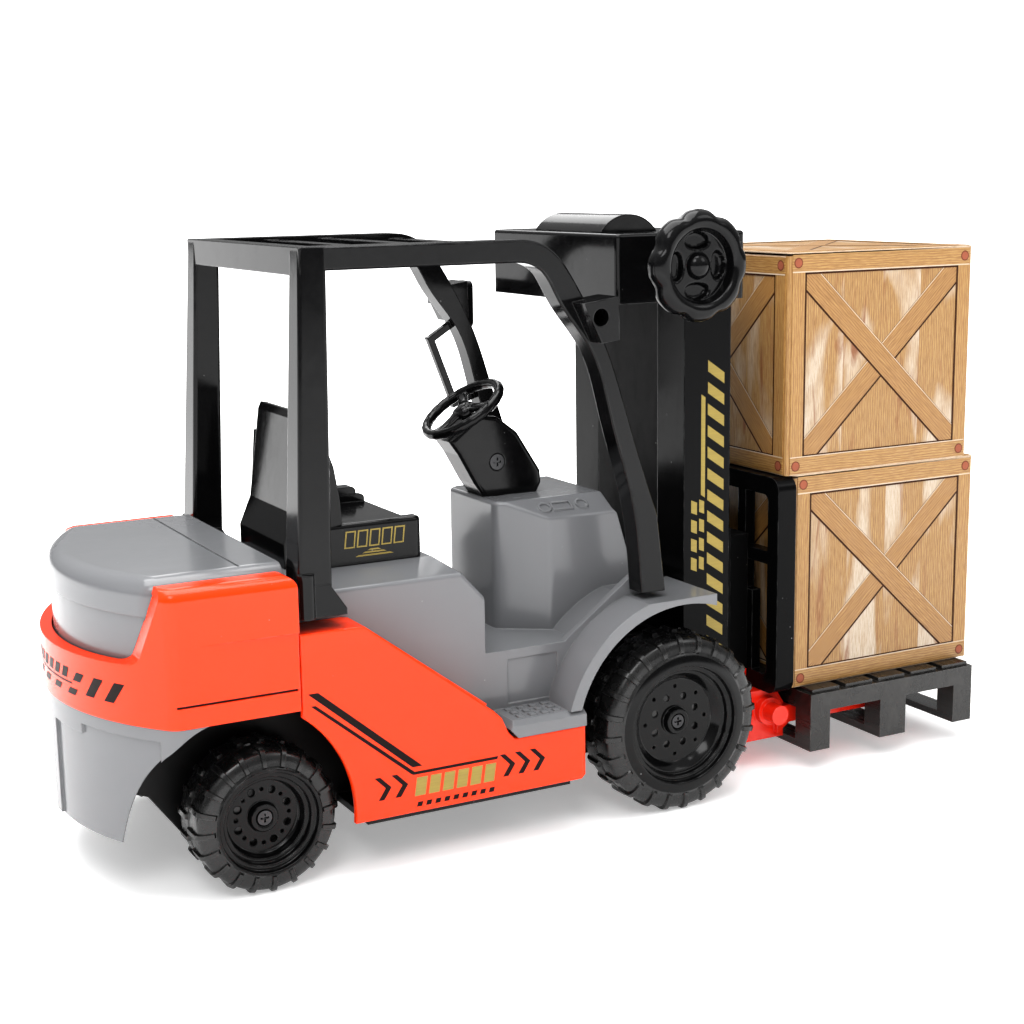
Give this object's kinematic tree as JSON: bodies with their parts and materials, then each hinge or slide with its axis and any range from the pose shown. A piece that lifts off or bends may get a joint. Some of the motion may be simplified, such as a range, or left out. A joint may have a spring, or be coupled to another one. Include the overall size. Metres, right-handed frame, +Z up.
{
  "type": "toy forklift",
  "caption": "Toy forklift truck with a hand-wound lifting carriage, turning wheels, open overhead guard, and a pallet carrying stacked box crates.",
  "frame": {"origin": "middle of the toy's footprint on the ground the wheels stand on", "axes": "+X forward towards the forks, +Y to the truck's left, +Z up"},
  "size_m": [0.3642, 0.146, 0.218],
  "materials": {
    "orange_shell": "semi-gloss moulded plastic",
    "grey_body": "semi-gloss moulded plastic",
    "black_frame": "glossy moulded plastic",
    "black_seat": "glossy moulded plastic",
    "black_chassis": "satin moulded plastic",
    "wheel": "satin moulded plastic, gloss on the rims",
    "axle_steel": "bare steel",
    "screw_steel": "plated steel",
    "black_mast": "glossy moulded plastic",
    "winch": "glossy moulded plastic",
    "felt": "felt",
    "red_forks": "semi-gloss moulded plastic",
    "pallet": "satin moulded plastic",
    "crate_card": "card printed as wooden boards"
  },
  "bodies": {
    "truck": {"cab_body": "grey_body", "chassis": "black_chassis", "chassis_screws": "screw_steel", "column_screw": "screw_steel", "counterweight": "grey_body", "drum_cover": "winch", "engine_box": "grey_body", "front_axle": "axle_steel", "hood_lid": "grey_body", "mast_back": "black_mast", "mast_foot": "black_mast", "mast_rail_left": "black_mast", "mast_rail_right": "black_mast", "overhead_guard": "black_frame", "pulley_pin": "axle_steel", "rear_axle": "axle_steel", "seat": "black_seat", "side_panel_left": "orange_shell", "side_panel_right": "orange_shell", "steering_column": "black_frame", "tail_shell": "orange_shell", "wheel_screws": "screw_steel", "winch_housing": "winch"},
    "lift": {"carriage": "black_mast", "load_backrest": "black_mast", "fork_frame": "red_forks"},
    "winch": {"winch_shaft": "axle_steel", "winch_drum": "winch", "brake_washer": "felt", "brake_collar": "winch", "handwheel": "winch"},
    "pulley": {"guide_pulley": "winch"},
    "steering": {"steering_wheel": "black_frame"},
    "mirror": {"side_mirror": "black_frame"},
    "pallet_body": {"pallet": "pallet"},
    "lower_crate": {"crate_lower": "crate_card"},
    "upper_crate": {"crate_upper": "crate_card"},
    "front_wheel_left": {"front_wheel_left_outer": "wheel", "front_wheel_left_inner": "wheel"},
    "front_wheel_right": {"front_wheel_right_outer": "wheel", "front_wheel_right_inner": "wheel"},
    "rear_wheel_left": {"rear_wheel_left_outer": "wheel", "rear_wheel_left_inner": "wheel"},
    "rear_wheel_right": {"rear_wheel_right_outer": "wheel", "rear_wheel_right_inner": "wheel"}
  },
  "joints": [
    {"name": "lift_slide", "type": "slide", "parent": "truck", "child": "lift", "axis": [0, 0, 1], "range_m": [-0.0075, 0.095]},
    {"name": "winch_turn", "type": "hinge", "parent": "truck", "child": "winch", "pos_m": [0.0308, -0.06, 0.1986], "axis": [0, -1, 0], "range_deg": [-90, 1095]},
    {"name": "pulley_turn", "type": "hinge", "parent": "truck", "child": "pulley", "pos_m": [0.0555, 0, 0.1986], "axis": [0, -1, 0], "range_deg": [-100, 1215]},
    {"name": "steering_turn", "type": "hinge", "parent": "truck", "child": "steering", "pos_m": [-0.026, 0, 0.146], "axis": [-0.5446, 0, 0.8387], "continuous": true},
    {"name": "mirror_swivel", "type": "hinge", "parent": "truck", "child": "mirror", "pos_m": [-0.0049, 0.06, 0.1825], "axis": [0, 1, 0], "range_deg": [-25, 25]},
    {"name": "pallet_slide", "type": "slide", "parent": "lift", "child": "pallet_body", "axis": [1, 0, 0], "range_m": [0, 0.085]},
    {"name": "lower_crate_lift", "type": "slide", "parent": "pallet_body", "child": "lower_crate", "axis": [0, 0, 1], "range_m": [0, 0.06]},
    {"name": "upper_crate_lift", "type": "slide", "parent": "lower_crate", "child": "upper_crate", "axis": [0, 0, 1], "range_m": [0, 0.06]},
    {"name": "rear_left_wheel_turn", "type": "hinge", "parent": "truck", "child": "rear_wheel_left", "pos_m": [-0.1275, 0.05, 0.0248], "axis": [0, 1, 0], "continuous": true},
    {"name": "rear_right_wheel_turn", "type": "hinge", "parent": "truck", "child": "rear_wheel_right", "pos_m": [-0.1275, -0.05, 0.0248], "axis": [0, 1, 0], "continuous": true},
    {"name": "front_left_wheel_turn", "type": "hinge", "parent": "truck", "child": "front_wheel_left", "pos_m": [0.0305, 0.05, 0.033], "axis": [0, 1, 0], "continuous": true},
    {"name": "front_right_wheel_turn", "type": "hinge", "parent": "truck", "child": "front_wheel_right", "pos_m": [0.0305, -0.05, 0.033], "axis": [0, 1, 0], "continuous": true}
  ],
  "couplings": [
    {"joint": "winch_turn", "follows": "lift_slide", "rad_per_m": 200},
    {"joint": "pulley_turn", "follows": "lift_slide", "rad_per_m": 222.22}
  ]
}
